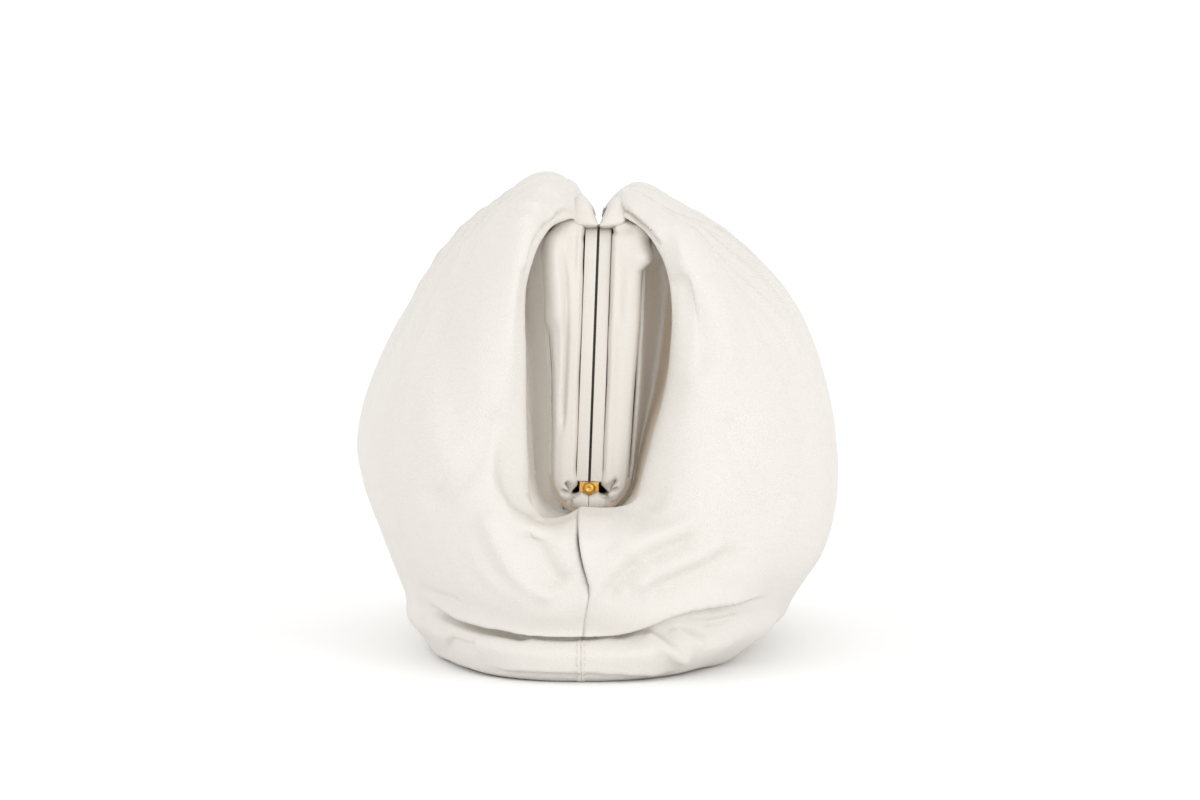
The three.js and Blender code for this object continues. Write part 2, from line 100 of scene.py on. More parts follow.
def to_object(bm, name):
    """Makes a bmesh a piece of the scene."""
    mesh = bpy.data.meshes.new(name)
    bm.to_mesh(mesh)
    bm.free()
    piece = bpy.data.objects.new(name, mesh)
    bpy.context.scene.collection.objects.link(piece)
    mesh.shade_smooth()
    return piece


def with_modifiers_applied(piece):
    """Replaces the piece's mesh by what its modifiers make of it."""
    graph = bpy.context.evaluated_depsgraph_get()
    made = bpy.data.meshes.new_from_object(piece.evaluated_get(graph))
    old = piece.data
    piece.modifiers.clear()
    piece.data = made
    bpy.data.meshes.remove(old)
    made.shade_smooth()
    return piece


def through_points(piece, levels):
    """Rounds a piece so that its smooth skin still passes through the corners it had."""
    wanted = coordinates(piece.data)
    cage = wanted.copy()
    rounds = piece.modifiers.new("rounded", "SUBSURF")
    rounds.levels = rounds.render_levels = 1
    rounds.boundary_smooth = "PRESERVE_CORNERS"
    for _ in range(CAGE_ROUNDS):
        graph = bpy.context.evaluated_depsgraph_get()
        graph.update()
        landed = coordinates(piece.evaluated_get(graph).data)[:len(wanted)]
        cage += CAGE_STEP * (wanted - landed)
        move_vertices(piece.data, cage)
        piece.data.update_tag()
    rounds.levels = rounds.render_levels = levels
    return with_modifiers_applied(piece)


def belongs(piece, material, slot, *nodes):
    """Gives a piece its finish and its place on the bag."""
    piece.data.materials.clear()
    piece.data.materials.append(material)
    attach(piece, BODY)
    if nodes:
        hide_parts(*nodes)
    return piece


def coordinates(mesh):
    co = np.empty(len(mesh.vertices) * 3)
    mesh.vertices.foreach_get("co", co)
    return co.reshape(-1, 3)


def vertex_normals(mesh):
    normals = np.empty(len(mesh.vertices) * 3)
    mesh.vertices.foreach_get("normal", normals)
    return normals.reshape(-1, 3)


def move_vertices(mesh, co):
    mesh.vertices.foreach_set("co", co.ravel())
    mesh.update()


def on_the_floor(mesh, co):
    """Moves the vertices to new places, and none of them below the floor."""
    co[:, 2] = np.maximum(co[:, 2], 0.0)
    move_vertices(mesh, co)


def soften_edges(piece, width, segments, angle):
    soft = piece.modifiers.new("soft edges", "BEVEL")
    soft.width = width
    soft.segments = segments
    soft.limit_method = "ANGLE"
    soft.angle_limit = math.radians(angle)
    return with_modifiers_applied(piece)


def smooth_step(x, low, high):
    t = np.clip((x - low) / (high - low), 0, 1)
    return t * t * (3 - 2 * t)


def fade(x, low, high):
    return 1 - smooth_step(x, low, high)


def window(x, opens, opened, closes, closed):
    """One inside a range and nothing outside it, with a soft step at both its ends."""
    return smooth_step(x, opens, opened) * fade(x, closes, closed)


def from_table(x, table):
    """A value between the rows of a table of pairs."""
    return np.interp(x, *np.array(table, dtype=float).T)


# Materials

def feed(tree, node, inputs):
    """Gives each named input of a node its value, or links it to another node's output."""
    for socket, given in inputs.items():
        if isinstance(given, bpy.types.NodeSocket):
            tree.links.new(given, node.inputs[socket])
        else:
            node.inputs[socket].default_value = given


def add_node(tree, kind, inputs, **settings):
    """Adds a node with its settings and inputs, and gives back its outputs."""
    node = tree.nodes.new("ShaderNode" + kind)
    for setting, value in settings.items():
        setattr(node, setting, value)
    feed(tree, node, inputs)
    return node.outputs


def mixed(tree, share, one, other, **settings):
    """A colour between two others."""
    inputs = {"Factor": share, "A": one, "B": other}
    return add_node(tree, "Mix", inputs, data_type="RGBA", **settings)["Result"]


def new_finish(name):
    """A new material, its node tree, and the coordinates that its patterns follow."""
    material = bpy.data.materials.new(name)
    material.use_nodes = True
    tree = material.node_tree
    return material, tree, add_node(tree, "TexCoord", {})["Object"]


def node_group(name, inputs, outputs):
    group = bpy.data.node_groups.new(name, "ShaderNodeTree")
    for label, kind, value in inputs:
        socket = group.interface.new_socket(label, in_out="INPUT", socket_type=kind)
        if value is not None:
            socket.default_value = value
    for label, kind in outputs:
        group.interface.new_socket(label, in_out="OUTPUT", socket_type=kind)
    given = group.nodes.new("NodeGroupInput").outputs
    return group, given, group.nodes.new("NodeGroupOutput")


# How far the grain's pebbles are bent out of line, in metres
PEBBLE_WARP = (0.0012, 0.0012, 0.0012)


def leather_grain_group():
    """Fine pebbled grain with soft creases: a height, and a mask of the deeper lines."""
    group, given, out = node_group(
        "leather_grain",
        [
            ("Vector", "NodeSocketVector", None),
            ("Pebble Scale", "NodeSocketFloat", 900.0),
            ("Crease Scale", "NodeSocketFloat", 70.0),
            ("Crease Height", "NodeSocketFloat", 0.6),
        ],
        [("Height", "NodeSocketFloat"), ("Lines", "NodeSocketFloat")],
    )
    place = given["Vector"]
    warp = add_node(group, "TexNoise", {"Vector": place, "Scale": 260.0, "Detail": 3.0})["Color"]
    bent = add_node(
        group, "VectorMath", {0: warp, 1: PEBBLE_WARP, 2: place}, operation="MULTIPLY_ADD")
    pebbles = add_node(
        group, "TexVoronoi", {"Vector": bent["Vector"], "Scale": given["Pebble Scale"]},
        feature="DISTANCE_TO_EDGE")["Distance"]
    valley = add_node(
        group, "MapRange", {"Value": pebbles, "From Max": 0.28},
        interpolation_type="SMOOTHSTEP")["Result"]
    creases = add_node(
        group, "TexNoise",
        {"Vector": place, "Scale": given["Crease Scale"], "Detail": 5.0, "Roughness": 0.55},
        noise_type="RIDGED_MULTIFRACTAL")["Fac"]
    scaled = add_node(group, "Math", {0: creases, 1: given["Crease Height"]}, operation="MULTIPLY")
    height = add_node(group, "Math", {0: valley, 1: scaled["Value"]}, operation="SUBTRACT")
    lines = add_node(group, "Math", {0: 1.0, 1: valley}, operation="SUBTRACT")
    feed(group, out, {"Height": height["Value"], "Lines": lines["Value"]})
    return group


LEATHER_GRAIN = leather_grain_group()

# Leather's painted shade, a darker warmer tone for one wall inside each recess, and its painted
# light, a paler tone for the other wall; and the tone and the weight of the lines in its grain
PAINTED_SHADE_TONE = (0.7, 0.605, 0.495, 1)
PAINTED_LIGHT_TONE = (0.95, 0.91, 0.855, 1)
LINE_TONE = (0.93, 0.91, 0.88, 1)
LINE_WEIGHT = 0.5


def leather(name, light, shade, roughness, grain_depth, pebble_scale, crease_height):
    """Matt drummed nappa: a soft mottle between two tones, finer lines a little darker."""
    material, tree, place = new_finish(name)
    grain = add_node(
        tree, "Group",
        {"Vector": place, "Pebble Scale": pebble_scale, "Crease Height": crease_height},
        node_tree=LEATHER_GRAIN)
    mottle = add_node(tree, "TexNoise", {"Vector": place, "Scale": 14.0, "Detail": 4.0})["Fac"]
    tone = mixed(tree, mottle, light, shade)
    # painted shade and painted light on the recess walls, mixed in where their masks say
    for mask, other in (("painted_shade_share", PAINTED_SHADE_TONE), ("painted_light_share", PAINTED_LIGHT_TONE)):
        share = add_node(tree, "Attribute", {}, attribute_name=mask)["Fac"]
        tone = mixed(tree, share, tone, other)
    weight = add_node(tree, "Math", {0: grain["Lines"], 1: LINE_WEIGHT}, operation="MULTIPLY")
    rough = add_node(
        tree, "MapRange", {"Value": mottle, "To Min": roughness - 0.05, "To Max": roughness + 0.08})
    bump = add_node(
        tree, "Bump", {"Strength": 1.0, "Distance": grain_depth, "Height": grain["Height"]})
    feed(tree, tree.nodes["Principled BSDF"], {
        "Base Color": mixed(tree, weight["Value"], tone, LINE_TONE, blend_type="MULTIPLY"),
        "Roughness": rough["Result"],
        "Normal": bump["Normal"],
        "Specular IOR Level": 0.42,
    })
    return material


def hinge_brass():
    """Warm brass, a little uneven from handling."""
    material, tree, place = new_finish("hinge_brass")
    wear = add_node(tree, "TexNoise", {"Vector": place, "Scale": 500.0, "Detail": 3.0})["Fac"]
    rough = add_node(tree, "MapRange", {"Value": wear, "To Min": 0.22, "To Max": 0.38})
    feed(tree, tree.nodes["Principled BSDF"], {
        "Base Color": mixed(tree, wear, (0.78, 0.46, 0.12, 1), (0.62, 0.33, 0.07, 1)),
        "Roughness": rough["Result"],
        "Metallic": 1.0,
    })
    return material


def lining_cloth():
    """Dark woven lining cloth, a plain weave of fine yarns."""
    material, tree, place = new_finish("lining_cloth")
    weave = add_node(
        tree, "TexWave", {"Vector": place, "Scale": 900.0, "Distortion": 0.6},
        bands_direction="Z")["Fac"]
    bump = add_node(tree, "Bump", {"Distance": 0.0001, "Height": weave})
    feed(tree, tree.nodes["Principled BSDF"], {
        "Base Color": mixed(tree, weave, (0.035, 0.028, 0.022, 1), (0.06, 0.05, 0.04, 1)),
        "Roughness": 0.9,
        "Normal": bump["Normal"],
    })
    return material


def waxed_thread():
    """Pale twisted thread."""
    material, tree, place = new_finish("waxed_thread")
    twist = add_node(
        tree, "TexWave", {"Vector": place, "Scale": 1500.0}, bands_direction="DIAGONAL")["Fac"]
    bump = add_node(tree, "Bump", {"Distance": 0.00005, "Height": twist})
    feed(tree, tree.nodes["Principled BSDF"], {
        "Base Color": mixed(tree, twist, (0.78, 0.74, 0.68, 1), (0.66, 0.61, 0.54, 1)),
        "Roughness": 0.6,
        "Normal": bump["Normal"],
    })
    return material


PANEL_LEATHER = leather(
    "panel_leather", light=(0.745, 0.72, 0.68, 1), shade=(0.715, 0.686, 0.644, 1),
    roughness=0.5, grain_depth=0.00008, pebble_scale=950.0, crease_height=0.5)
RIM_LEATHER = leather(
    "rim_leather", light=(0.735, 0.704, 0.658, 1), shade=(0.705, 0.67, 0.622, 1),
    roughness=0.46, grain_depth=0.00004, pebble_scale=1100.0, crease_height=0.3)
BRASS = hinge_brass()
LINING_CLOTH = lining_cloth()
THREAD = waxed_thread()


# The two gathered panels

SKIN_TURN = math.radians(72)
LEATHER_WALL = 1.6 * MM
LINING_SHARE = 0.62

# The folds at the near end, seen square to the end, in millimetres: each path runs in steps
# (beside the seam, above the floor). The far end has the same folds, half a turn round.
# "ridge" and "valley" are rounded, and "lip" hangs over the hollow below its path.
Fold = namedtuple("Fold", "name kind height width path")
END_FOLDS = [
    Fold("base crease", "lip", 7.0, 2.0, [
        (-77, 28), (-69, 27.4), (-60, 26.5), (-46, 24.6), (-33, 23.4), (-20, 21.6), (-9, 21.2),
        (3, 21.6), (15, 23.8), (27, 27.4), (40, 31.5), (55, 34), (70, 33.4), (84, 32)]),
    Fold("dent rim", "ridge", 3.6, 4.2, [
        (-45, 77), (-42, 69), (-38, 60.5), (-33, 52), (-27, 45), (-19, 40.4), (-10, 39)]),
    Fold("outer dent rim", "ridge", 1.5, 4.0, [
        (-52, 62), (-46, 52), (-39, 44), (-30, 38), (-20, 35)]),
    Fold("dent", "valley", 4.6, 6.2, [
        (-25, 67), (-22.2, 61.5), (-18.6, 55), (-14.8, 48), (-11, 40.5)]),
    Fold("thin wrinkle", "valley", 1.6, 1.6, [(-78, 35), (-66, 34), (-54, 32.6)]),
    Fold("base hollow", "valley", 3.0, 4.0, [(-62, 14), (-54, 13.4), (-47, 13.6)]),
    Fold("long fold", "ridge", 3.0, 4.8, [
        (-4, 29), (1, 38), (7, 46), (15, 54), (26, 61), (38, 66), (52, 74)]),
    Fold("long fold hollow", "valley", 2.7, 3.8, [
        (5, 36), (13, 45), (24, 53.6), (36, 59), (48, 64)]),
    Fold("second long fold", "ridge", 2.7, 4.4, [(18, 40), (32, 48), (48, 55), (62, 64)]),
    Fold("second long hollow", "valley", 2.4, 4.0, [(24, 38), (38, 45), (54, 50), (68, 58)]),
    Fold("curved ridge", "ridge", 2.6, 2.2, [
        (25, 22.5), (31, 18), (37, 13.4), (43, 9.4), (47, 7.6)]),
    Fold("second curved ridge", "ridge", 1.8, 2.6, [(37, 24), (45, 18.4), (53, 14.6)]),
    Fold("thin side wrinkle", "valley", 1.5, 1.4, [(50, 24), (58, 24.4), (68, 25.6)]),
    Fold("foot fold", "lip", 3.2, 1.6, [
        (-42, 4.6), (-26, 5.2), (-8, 5.4), (6, 5), (22, 3.8), (34, 2.8), (41, 3.8)]),
    Fold("crest hollow", "valley", 4.2, 6.5, [
        (36, 178), (40, 166), (44, 154), (47, 142), (48, 130)]),
    Fold("crest rim", "ridge", 2.2, 5.0, [(48, 176), (53, 160), (57, 146), (58, 132)]),
    Fold("upper slope", "ridge", 2.4, 2.4, [(-52, 196), (-38, 205), (-24, 208), (-10, 207)]),
    Fold("second upper slope", "ridge", 2.0, 2.2, [
        (-54, 187), (-42, 197), (-28, 201.5), (-16, 202)]),
    Fold("left hem", "lip", 3.6, 1.6, [
        (-31.5, 176), (-30.3, 186.3), (-27, 194), (-22, 201), (-19, 204.4), (-15, 206.5)]),
    Fold("right hem", "lip", 4.0, 1.6, [
        (2, 210), (4.8, 209.3), (9.2, 206.6), (14.9, 202.7), (20.1, 197.5), (24.5, 193.1),
        (28, 188)]),
    Fold("left crease shadow", "valley", 5.2, 1.7, [
        (-72, 25.6), (-60, 24.2), (-46, 22.4), (-33, 21.2), (-22, 19.6)]),
    Fold("right crease shadow", "valley", 5.2, 1.8, [
        (10, 20.4), (20, 22.8), (30, 26.2), (42, 30), (55, 31.4), (66, 31)]),
    Fold("lip hollow", "valley", 0.9, 3.2, [(4, 66), (9, 62), (13, 57)]),
    Fold("right lip fold", "ridge", 1.0, 3.0, [(14, 70), (17, 62), (22, 55), (30, 50)]),
    Fold("left flank fold", "valley", 2.6, 5.0, [(-40, 120), (-48, 100), (-60, 84), (-74, 74)]),
    Fold("right flank fold", "valley", 2.4, 6.0, [(58, 118), (66, 96), (78, 80), (90, 70)]),
]

# A fold's relief reaches this many widths to each side, and sets in and fades out over these
# shares of its path
FOLD_REACH = 5
FOLD_ENDS = (0, 0.16, 0.84, 1)
# A lip is this many widths wide above its path and turns into its hollow over this range of
# widths. Its rise, its hollow and its sag are shares of the fold's height.
LIP_SPREAD = 2.2
LIP_TURN = (-0.25, 0.45)
LIP_SHARE, HOLLOW_SHARE, SAG_SHARE = 0.4, 0.75, 0.4

# How far the end seam wanders to the side as it rises from the base crease to the roll
SEAM_WANDER = [
    (0, -0.5), (3, -0.5), (10, -0.8), (18, -1.0), (22, -0.4), (28, 0.2), (33, 0.8), (39, 1.8),
    (43, 1.5), (47, 0.2), (50, -0.8), (55, -2.2), (59, -3.2), (64, -4.0), (68, -4.0), (74, -2.5),
    (80, 0)]
# How far to each side, in millimetres, that takes the leather along
SEAM_PULL = 15.0
# How far each edge of the seam is pushed to the other
SEAM_SHUT = 0.14 * MM

# How far the lip under the hinge is raised, by its place beside the seam, in millimetres
LIP_RISE = [
    (-44, 0), (-34, 2.4), (-26, 4.6), (-18, 5.2), (-6, 6), (-1, 6.6), (8, 6.8), (15, 5.4),
    (22, 2), (30, 0)]
# The depth of the hollow behind that lip, and the droop of the corners over the bars' tops
LIP_HOLLOW = 5 * MM
NOSE_DROOP = 6.5 * MM

# How far the crest sinks toward each end, by its place beside the seam, in millimetres
CREST_SINK = [
    (-62, 0), (-45, 0.6), (-30, 2), (-20, 3), (-10, 4.2), (-5, 3), (0, 0), (4, -1.6), (8, -1.8),
    (13, 0), (20, 2.8), (30, 4.4), (42, 5), (55, 4), (72, 0)]
# How far each panel draws back from the notch between the crests
NOTCH_OPENING = 2.4 * MM

# Half the bars' length, in millimetres
BAR_END = 140

# Where each of these shapes sets in and fades out: heights above the floor, places beside the
# seam, and places ahead of the bars' ends, in millimetres
LIP_HEIGHTS = (52, 60, 76, 84)
LIP_AHEAD = (14, 19, 26, 47)
HOLLOW_AHEAD = (-6, 2, 10, 15)
HOLLOW_LEFT = (1, 6, 26, 34)
NOSE_HEIGHTS = (197, 203, 210, 219)
NOSE_AHEAD = (-28, -9, 6, 16)
NOSE_BESIDE = 4
NOSE_HALF_WIDTH = 5
CREST_HEIGHTS = (194, 212)
NOTCH_BESIDE = (5, 12)
NOTCH_HEIGHTS = (199, 206)
SEAM_HEIGHTS = (21, 26, 76, 84)
OVERLAP_HEIGHTS = (36, 46, 60, 70)
WELT_BESIDE = (1.1, 2.1)
WELT_TOP = (18, 21)
SHUT_BESIDE = (0.6, 2)
SHUT_HEIGHTS = (74, 80)
MOUTH_BESIDE = (7, 18)
RECESS_HEIGHTS = (66, 78, 188, 206)
RECESS_AHEAD = (-60, -30, -4, 9)

# The same along the bag, from its middle toward an end, and up from the floor, in metres
END_REACH = (0.085, 0.115)
CREST_REACH = (0.01, 0.06)
GATHER_REACH = (0.12, 0.16)
GATHER_HEIGHTS = (0.105, 0.2)
WANDER_REACH = (0.15, 0.162)
GROUND_HEIGHTS = (0.001, 0.012)

# How squarely the leather has to face an end, the sky or the frame
END_FACING = (-0.05, 0.45)
LIP_FACING = (-0.3, 0.4)
RECESS_FACING = (0.3, 0.85)

# The end seam's sunk edge, the step where one panel laps the other, and the welt, with how far
# the first two spread, in millimetres
SEAM_SINK, SEAM_SPREAD = 0.55, 1.3
LAP_STEP, LAP_SPREAD = 1.3, 6.0
WELT_RISE = 0.55

# Uneven leather: a height in millimetres, the size of its waves in metres, and where they start
Waves = namedtuple("Waves", "height size start")
NARROW_GATHERS = Waves(3.2, (0.09, 0.0125, 0.11), 3.1)
BROAD_GATHERS = Waves(2.8, (0.12, 0.03, 0.16), 7.7)
SLOW_WAVES = Waves(1.4, (0.07, 0.07, 0.055), 11.3)
HANDLING_WRINKLES = Waves(0.28, (0.017, 0.017, 0.012), 17.9)
ROLL_WAVES = Waves(0.5, (0.02, 0.02, 0.034), 5.5)
ROLL_WRINKLES = Waves(0.14, (0.006, 0.006, 0.012), 8.5)
TUCK_WAVES = Waves(0.4, (0.012, 0.03, 0.01), 4.4)


def outer_skin(bm):
    """Leaves only the outer skin of a leather wall: the faces joined without a square edge."""
    start = max(bm.faces, key=lambda face: abs(face.calc_center_median().x))
    found = {start}
    waiting = [start]
    while waiting:
        face = waiting.pop()
        for edge in face.edges:
            if edge.calc_face_angle(math.pi) > SKIN_TURN:
                continue
            for other in edge.link_faces:
                if other not in found:
                    found.add(other)
                    waiting.append(other)
    rest = [face for face in bm.faces if face not in found]
    bmesh.ops.delete(bm, geom=rest, context="FACES")
    return bm


def smooth_path(points, steps=6):
    """A path's points with a smooth curve's points between them."""
    rows = np.array(points, dtype=float)
    padded = np.vstack([2 * rows[0] - rows[1], rows, 2 * rows[-1] - rows[-2]])
    made = []
    for a, b, c, d in zip(padded, padded[1:], padded[2:], padded[3:]):
        for t in np.arange(steps) / steps:
            made.append(0.5 * (2 * b + (c - a) * t + (2 * a - 5 * b + 4 * c - d) * t ** 2
                               + (3 * b - a - 3 * c + d) * t ** 3))
    return np.array(made + [rows[-1]])


def beside_path(places, path):
    """How far each place lies from a path, to its upper side positive, and its share along."""
    curve = smooth_path(path)
    lengths = np.linalg.norm(np.diff(curve, axis=0), axis=1)
    before = np.concatenate([[0], np.cumsum(lengths)])
    nearest = np.full(len(places), np.inf)
    signed = np.zeros(len(places))
    share = np.zeros(len(places))
    for start, step, length, passed in zip(curve, np.diff(curve, axis=0), lengths, before):
        along = np.clip((places - start) @ step / length ** 2, 0, 1)
        away = places - start - along[:, None] * step
        distance = np.linalg.norm(away, axis=1)
        closer = distance < nearest
        side = np.sign(step[0] * away[:, 1] - step[1] * away[:, 0])
        nearest = np.where(closer, distance, nearest)
        signed = np.where(closer, distance * side, signed)
        share = np.where(closer, (passed + along * length) / before[-1], share)
    return signed, share


def end_view(co):
    """Each point as its own end of the bag shows it: beside the seam and above the floor."""
    turn = np.where(co[:, 1] < 0, 1.0, -1.0)
    beside = (co[:, 0] - seam_x(co[:, 2])) * turn
    return np.column_stack([beside, co[:, 2]]) / MM


def fold_relief(places, fold):
    """How far a fold lifts the skin, in metres, and how far it lets it hang."""
    lift = np.zeros(len(places))
    hang = np.zeros(len(places))
    reach = FOLD_REACH * fold.width + 2
    path = np.array(fold.path, dtype=float)
    close = np.all((places > path.min(0) - reach) & (places < path.max(0) + reach), axis=1)
    if not close.any():
        return lift, hang
    beside, share = beside_path(places[close], fold.path)
    ends = window(share, *FOLD_ENDS)
    bell = np.exp(-(beside / fold.width) ** 2)
    if fold.kind == "ridge":
        lift[close] = fold.height * bell * ends
    elif fold.kind == "valley":
        lift[close] = -fold.height * bell * ends
    else:
        above = np.exp(-(np.maximum(beside, 0) / (LIP_SPREAD * fold.width)) ** 2)
        below = np.exp(-(np.maximum(-beside, 0) / fold.width) ** 2)
        turn = smooth_step(beside / fold.width, *LIP_TURN)
        lip = LIP_SHARE * above * turn - HOLLOW_SHARE * below * (1 - turn)
        lift[close] = fold.height * lip * ends
        sag = np.exp(-np.abs(beside) / fold.width) * turn
        hang[close] = -SAG_SHARE * fold.height * sag * ends
    return lift * MM, hang * MM


def uneven(co, waves):
    """How high each point lies on uneven leather, as a share of the waves' height."""
    offset = Vector((waves.start, 2 * waves.start, 3 * waves.start))
    return np.array([noise.noise(Vector(point) + offset) for point in co / np.array(waves.size)])


def lay_folds(co, places, at_end):
    """Lets the lips of the ends' folds hang, and gives the lift of all the folds."""
    lift = np.zeros(len(co))
    for fold in END_FOLDS:
        raised, hung = fold_relief(places, fold)
        lift += raised * at_end
        co[:, 2] += hung * at_end
    return lift


def shape_mouth(co, normals, beside, height, ahead):
    """The lip that stands up to the rolls, the drooping corners of the top and the sunk crests."""
    faces_up = smooth_step(normals[:, 2], *LIP_FACING) * window(height, *LIP_HEIGHTS)
    lip = from_table(beside, LIP_RISE) * window(ahead, *LIP_AHEAD) * MM
    hollow = LIP_HOLLOW * window(ahead, *HOLLOW_AHEAD) * window(-beside, *HOLLOW_LEFT)
    co[:, 2] += (lip - hollow) * faces_up
    nose = window(ahead, *NOSE_AHEAD) * window(height, *NOSE_HEIGHTS)
    co[:, 2] -= NOSE_DROOP * nose * np.exp(-((np.abs(beside) - NOSE_BESIDE) / NOSE_HALF_WIDTH) ** 2)
    sunk = from_table(beside, CREST_SINK) * smooth_step(height, *CREST_HEIGHTS)
    co[:, 2] -= sunk * smooth_step(np.abs(co[:, 1]), *CREST_REACH) * MM
    apart = fade(np.abs(beside), *NOTCH_BESIDE) * smooth_step(height, *NOTCH_HEIGHTS)
    co[:, 0] += np.sign(co[:, 0] - seam_x(co[:, 2])) * NOTCH_OPENING * apart


def seam_relief(beside, height):
    """The seam's rolled edges above the crease, and the flat stitched strip below it."""
    edge = np.exp(-np.abs(beside) / SEAM_SPREAD) * window(height, *SEAM_HEIGHTS)
    lap = np.exp(-np.abs(beside) / LAP_SPREAD) * window(height, *OVERLAP_HEIGHTS)
    step = np.where(beside > 0, 1.0, -1.0) * lap
    strip = fade(np.abs(beside), *WELT_BESIDE) * fade(height, *WELT_TOP)
    return (LAP_STEP * step + WELT_RISE * strip - SEAM_SINK * edge) * MM


def gather_relief(co, clear_of_mouth):
    """Gathers that fall from the mouth along both long sides."""
    high = smooth_step(co[:, 2], *GATHER_HEIGHTS)
    middle = fade(np.abs(co[:, 1]), *GATHER_REACH)
    narrow = NARROW_GATHERS.height * (0.5 - 2.2 * np.abs(uneven(co, NARROW_GATHERS))) * high
    broad = BROAD_GATHERS.height * uneven(co, BROAD_GATHERS)
    return (narrow + broad) * middle * clear_of_mouth * MM


def handling_relief(co, clear_of_mouth):
    """Slow waves everywhere, and fine handling wrinkles between them."""
    slow = SLOW_WAVES.height * uneven(co, SLOW_WAVES) * clear_of_mouth
    fine = HANDLING_WRINKLES.height * uneven(co, HANDLING_WRINKLES)
    return (slow + fine) * smooth_step(co[:, 2], *GROUND_HEIGHTS) * MM


def wander_seam(co, beside, height):
    """Moves the end seam to its wandering line, with the leather on both sides of it."""
    turn = np.where(co[:, 1] < 0, 1.0, -1.0)
    carried = np.exp(-(beside / SEAM_PULL) ** 2) * smooth_step(np.abs(co[:, 1]), *WANDER_REACH)
    co[:, 0] += turn * from_table(height, SEAM_WANDER) * carried * MM
    shut = fade(np.abs(beside), *SHUT_BESIDE) * fade(height, *SHUT_HEIGHTS)
    co[:, 0] -= np.sign(beside) * turn * SEAM_SHUT * shut


def paint_recess_shade_and_light(mesh, co, normals, beside, height, ahead):
    """Paints shade on one wall inside each recess as a darker, warmer tone, and light on the other
    as a paler tone.
    """
    inward = -normals[:, 0] * np.sign(co[:, 0] - seam_x(co[:, 2]))
    inside = smooth_step(inward, *RECESS_FACING)
    inside *= window(ahead, *RECESS_AHEAD) * window(height, *RECESS_HEIGHTS)
    # painted shade on the wall to one side of the seam, painted light on the wall to the other
    for mask, value in (("painted_shade_share", inside * (beside > 0)), ("painted_light_share", inside * (beside < 0))):
        mesh.attributes.new(mask, "FLOAT", "POINT").data.foreach_set("value", value)


def shaped_by_hand(panel):
    """Lays the leather in the folds, gathers and slight waves of the real bag."""
    mesh = panel.data
    co = coordinates(mesh)
    normals = vertex_normals(mesh)
    places = end_view(co)
    beside, height = places[:, 0], places[:, 1]
    ahead = np.abs(co[:, 1]) / MM - BAR_END
    clear_of_mouth = smooth_step(np.abs(beside), *MOUTH_BESIDE)
    at_end = smooth_step(np.abs(co[:, 1]), *END_REACH)
    at_end *= smooth_step(normals[:, 1] * np.sign(co[:, 1]), *END_FACING)
    lift = lay_folds(co, places, at_end)
    shape_mouth(co, normals, beside, height, ahead)
    lift += seam_relief(beside, height) * at_end
    lift += gather_relief(co, clear_of_mouth) + handling_relief(co, clear_of_mouth)
    co += normals * lift[:, None]
    wander_seam(co, beside, height)
    on_the_floor(mesh, co)
    paint_recess_shade_and_light(mesh, co, normals, beside, height, ahead)


def leather_panel(node):
    bm = outer_skin(merged_copy(node))
    bmesh.ops.join_triangles(
        bm, faces=bm.faces, angle_face_threshold=1.2, angle_shape_threshold=1.6)
    panel = through_points(to_object(bm, node.replace("_panel", "_leather")), 3)
    shaped_by_hand(panel)
    panel.vertex_groups.new(name="lining")
    wall = panel.modifiers.new("leather wall", "SOLIDIFY")
    wall.thickness = LEATHER_WALL
    wall.offset = -1
    wall.shell_vertex_group = "lining"
    thinned = panel.modifiers.new("plain lining", "DECIMATE")
    thinned.vertex_group = "lining"
    thinned.ratio = LINING_SHARE
    with_modifiers_applied(panel)
    on_the_floor(panel.data, coordinates(panel.data))
    return belongs(panel, PANEL_LEATHER, "panel_leather", node)


# The padded rolls and covered bars

